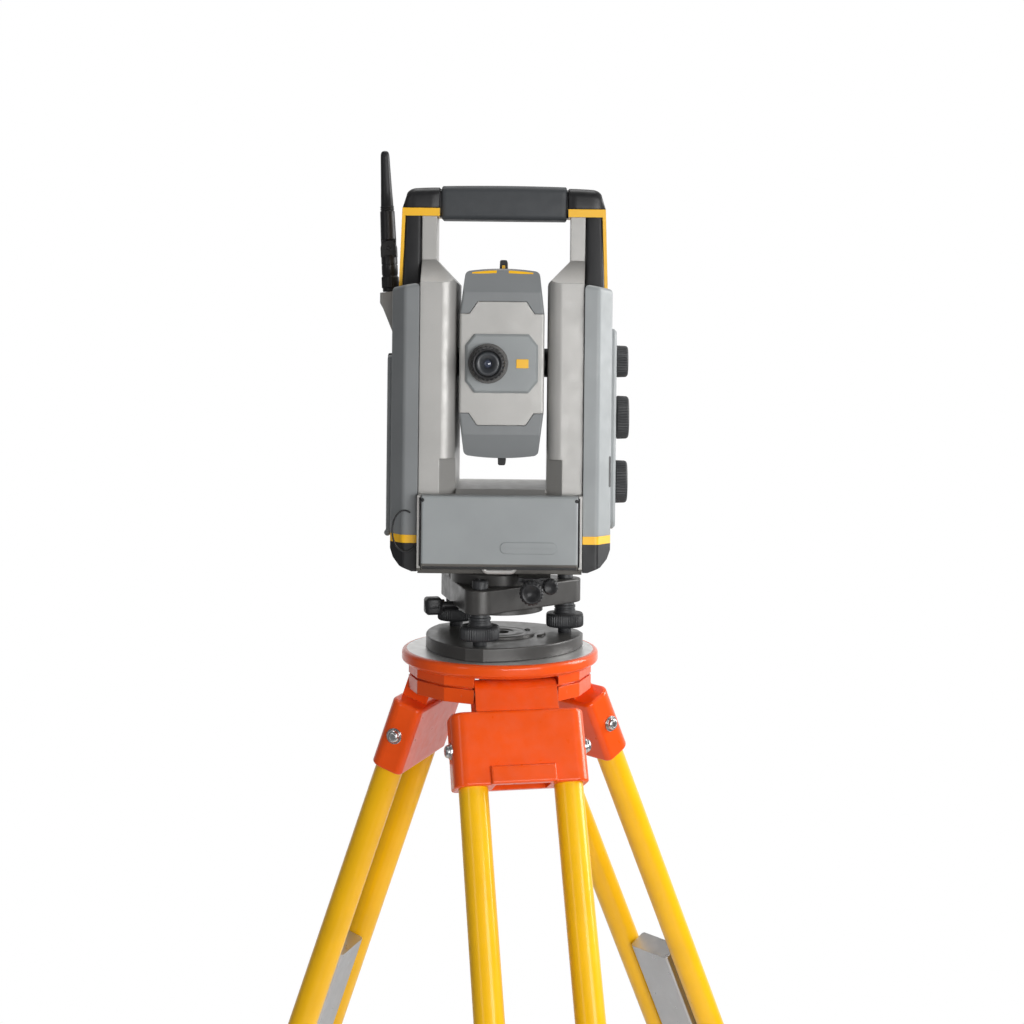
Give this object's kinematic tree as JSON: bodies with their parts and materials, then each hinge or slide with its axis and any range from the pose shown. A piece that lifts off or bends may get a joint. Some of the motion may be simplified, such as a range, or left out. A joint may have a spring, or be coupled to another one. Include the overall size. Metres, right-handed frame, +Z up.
{
  "type": "theodolite",
  "caption": "Motorised electronic theodolite (total station) on a levelling tribrach and a telescoping three-leg tripod with a domed-edge head.",
  "frame": {"origin": "where the vertical axis meets the tripod head's flat top, inside the hollow centre screw's bore", "axes": "+Z up along the vertical axis; the observer's side with the eyepiece and control panel is -Y; +X is the side with the three drive knobs"},
  "size_m": [0.7826, 0.8782, 1.3758],
  "materials": {
    "orange_casting": "glossy powder coat",
    "yellow_tube": "glossy fibreglass",
    "light_grey": "fine matt texture",
    "mid_grey": "fine matt texture",
    "dark_grey": "fine matt texture",
    "black": "satin",
    "grip_grey": "matt",
    "amber_trim": "satin",
    "steel": "satin",
    "dark_metal": "black anodised",
    "bare_aluminium": "satin",
    "brass": "satin",
    "optical_glass": "coated, polished",
    "battery_case": "satin"
  },
  "bodies": {
    "tripod": {"tripod_head": "orange_casting", "hinge_bolts": "steel", "clamp_washer": "bare_aluminium", "tribrach_base": "dark_metal", "tribrach_body": "dark_metal", "level_vial": "optical_glass", "spindle": "dark_metal", "horizontal_circle": "optical_glass"},
    "centre_screw": {"centre_screw": "brass"},
    "tribrach_lock": {"tribrach_lock": "black"},
    "alidade": {"yoke_frame": "light_grey", "left_cover": "dark_grey", "right_cover": "mid_grey", "bumpers": "black", "trim_strips": "amber_trim", "handle_grip": "grip_grey", "handle_ends": "black", "battery": "battery_case", "plummet_tube": "black", "trunnion_bearings": "steel"},
    "control_panel": {"control_panel": "mid_grey"},
    "panel_latch": {"panel_latch": "light_grey"},
    "battery_door": {"battery_door": "dark_grey"},
    "battery_latch": {"battery_latch": "black"},
    "antenna_base": {"antenna_base": "black"},
    "antenna_whip": {"antenna_whip": "black"},
    "plummet_ring": {"plummet_ring": "black"},
    "focus_knob": {"focus_knob": "black"},
    "vertical_knob": {"vertical_knob": "black"},
    "horizontal_knob": {"horizontal_knob": "black"},
    "telescope": {"telescope_body": "light_grey", "telescope_caps": "dark_grey", "optical_tube": "dark_metal", "eyepiece_plate": "mid_grey", "lenses": "optical_glass", "sights": "black", "trunnion_axles": "steel", "vertical_circle": "optical_glass"},
    "eyepiece_ring": {"eyepiece_ring": "black"},
    "leg_1": {"leg_head_1": "orange_casting", "leg_tubes_1": "yellow_tube", "leg_screws_1": "steel", "leg_clamp_1": "orange_casting"},
    "clamp_knob_1": {"clamp_knob_1": "black"},
    "lower_leg_1": {"lower_leg_1": "bare_aluminium"},
    "foot_screw_1": {"foot_screw_1": "black"},
    "leg_2": {"leg_head_2": "orange_casting", "leg_tubes_2": "yellow_tube", "leg_screws_2": "steel", "leg_clamp_2": "orange_casting"},
    "clamp_knob_2": {"clamp_knob_2": "black"},
    "lower_leg_2": {"lower_leg_2": "bare_aluminium"},
    "foot_screw_2": {"foot_screw_2": "black"},
    "leg_3": {"leg_head_3": "orange_casting", "leg_tubes_3": "yellow_tube", "leg_screws_3": "steel", "leg_clamp_3": "orange_casting"},
    "clamp_knob_3": {"clamp_knob_3": "black"},
    "lower_leg_3": {"lower_leg_3": "bare_aluminium"},
    "foot_screw_3": {"foot_screw_3": "black"}
  },
  "joints": [
    {"name": "leg_1_swing", "type": "hinge", "parent": "tripod", "child": "leg_1", "pos_m": [0.01342, -0.06053, -0.028], "axis": [-0.9763, -0.2164, 0], "range_deg": [-26, 0.5]},
    {"name": "leg_1_extend", "type": "slide", "parent": "leg_1", "child": "lower_leg_1", "axis": [0.0949, -0.428, -0.8988], "range_m": [0, 0.37064]},
    {"name": "clamp_knob_1_turn", "type": "hinge", "parent": "leg_1", "child": "clamp_knob_1", "pos_m": [0.09105, -0.41071, -0.70865], "axis": [0.1945, -0.8775, 0.4384], "range_deg": [0, 270]},
    {"name": "leg_2_swing", "type": "hinge", "parent": "tripod", "child": "leg_2", "pos_m": [0.04571, 0.04189, -0.028], "axis": [0.6756, -0.7373, 0], "range_deg": [-26.5, 0]},
    {"name": "leg_2_extend", "type": "slide", "parent": "leg_2", "child": "lower_leg_2", "axis": [0.329, 0.3014, -0.8949], "range_m": [0, 0.36634]},
    {"name": "clamp_knob_2_turn", "type": "hinge", "parent": "leg_2", "child": "clamp_knob_2", "pos_m": [0.31453, 0.28821, -0.7055], "axis": [0.6598, 0.6046, 0.4462], "range_deg": [0, 270]},
    {"name": "leg_3_swing", "type": "hinge", "parent": "tripod", "child": "leg_3", "pos_m": [-0.05913, 0.01864, -0.028], "axis": [0.3007, 0.9537, 0], "range_deg": [-19, 7.5]},
    {"name": "leg_3_extend", "type": "slide", "parent": "leg_3", "child": "lower_leg_3", "axis": [-0.3105, 0.0979, -0.9455], "range_m": [0, 0.42]},
    {"name": "clamp_knob_3_turn", "type": "hinge", "parent": "leg_3", "child": "clamp_knob_3", "pos_m": [-0.31955, 0.10075, -0.74729], "axis": [-0.9018, 0.2843, 0.3256], "range_deg": [0, 270]},
    {"name": "centre_screw_turn", "type": "hinge", "parent": "tripod", "child": "centre_screw", "pos_m": [0, 0, -0.04], "axis": [0, 0, 1], "continuous": true},
    {"name": "foot_screw_1_turn", "type": "hinge", "parent": "tripod", "child": "foot_screw_1", "pos_m": [-0.01654, -0.05768, 0.023], "axis": [0, 0, 1], "range_deg": [-1800, 1800]},
    {"name": "foot_screw_2_turn", "type": "hinge", "parent": "tripod", "child": "foot_screw_2", "pos_m": [0.05822, 0.01452, 0.023], "axis": [0, 0, 1], "range_deg": [-1800, 1800]},
    {"name": "foot_screw_3_turn", "type": "hinge", "parent": "tripod", "child": "foot_screw_3", "pos_m": [-0.04168, 0.04316, 0.023], "axis": [0, 0, 1], "range_deg": [-1800, 1800]},
    {"name": "tribrach_lock_turn", "type": "hinge", "parent": "tripod", "child": "tribrach_lock", "pos_m": [-0.05822, -0.01452, 0.039], "axis": [-0.9703, -0.2419, 0], "range_deg": [0, 180]},
    {"name": "alidade_turn", "type": "hinge", "parent": "tripod", "child": "alidade", "pos_m": [0, 0, 0.074], "axis": [0, 0, 1], "continuous": true},
    {"name": "telescope_turn", "type": "hinge", "parent": "alidade", "child": "telescope", "pos_m": [0, 0, 0.256], "axis": [1, 0, 0], "continuous": true},
    {"name": "eyepiece_turn", "type": "hinge", "parent": "telescope", "child": "eyepiece_ring", "pos_m": [-0.0114, -0.075, 0.256], "axis": [0, 1, 0], "range_deg": [-150, 150]},
    {"name": "focus_knob_turn", "type": "hinge", "parent": "alidade", "child": "focus_knob", "pos_m": [0.106, 0.002, 0.258], "axis": [1, 0, 0], "continuous": true},
    {"name": "vertical_knob_turn", "type": "hinge", "parent": "alidade", "child": "vertical_knob", "pos_m": [0.106, -0.016, 0.2085], "axis": [1, 0, 0], "continuous": true},
    {"name": "horizontal_knob_turn", "type": "hinge", "parent": "alidade", "child": "horizontal_knob", "pos_m": [0.106, 0, 0.15], "axis": [1, 0, 0], "continuous": true},
    {"name": "panel_tilt", "type": "hinge", "parent": "alidade", "child": "control_panel", "pos_m": [0, -0.07, 0.138], "axis": [-1, 0, 0], "range_deg": [0, 30]},
    {"name": "panel_latch_slide", "type": "slide", "parent": "control_panel", "child": "panel_latch", "axis": [0, 0, -1], "range_m": [0, 0.0035]},
    {"name": "battery_door_swing", "type": "hinge", "parent": "alidade", "child": "battery_door", "pos_m": [-0.0994, 0, 0.106], "axis": [0, -1, 0], "range_deg": [0, 100]},
    {"name": "battery_latch_slide", "type": "slide", "parent": "battery_door", "child": "battery_latch", "axis": [0, 0, -1], "range_m": [0, 0.003]},
    {"name": "antenna_swivel", "type": "hinge", "parent": "alidade", "child": "antenna_base", "pos_m": [-0.1043, 0.03, 0.3195], "axis": [-0.0523, 0, 0.9986], "range_deg": [-90, 90]},
    {"name": "antenna_tilt", "type": "hinge", "parent": "antenna_base", "child": "antenna_whip", "pos_m": [-0.10637, 0.03, 0.35895], "axis": [0, -1, 0], "range_deg": [0, 90]},
    {"name": "plummet_ring_turn", "type": "hinge", "parent": "alidade", "child": "plummet_ring", "pos_m": [0.028, -0.094, 0.063], "axis": [0, 1, 0], "range_deg": [-90, 90]}
  ]
}
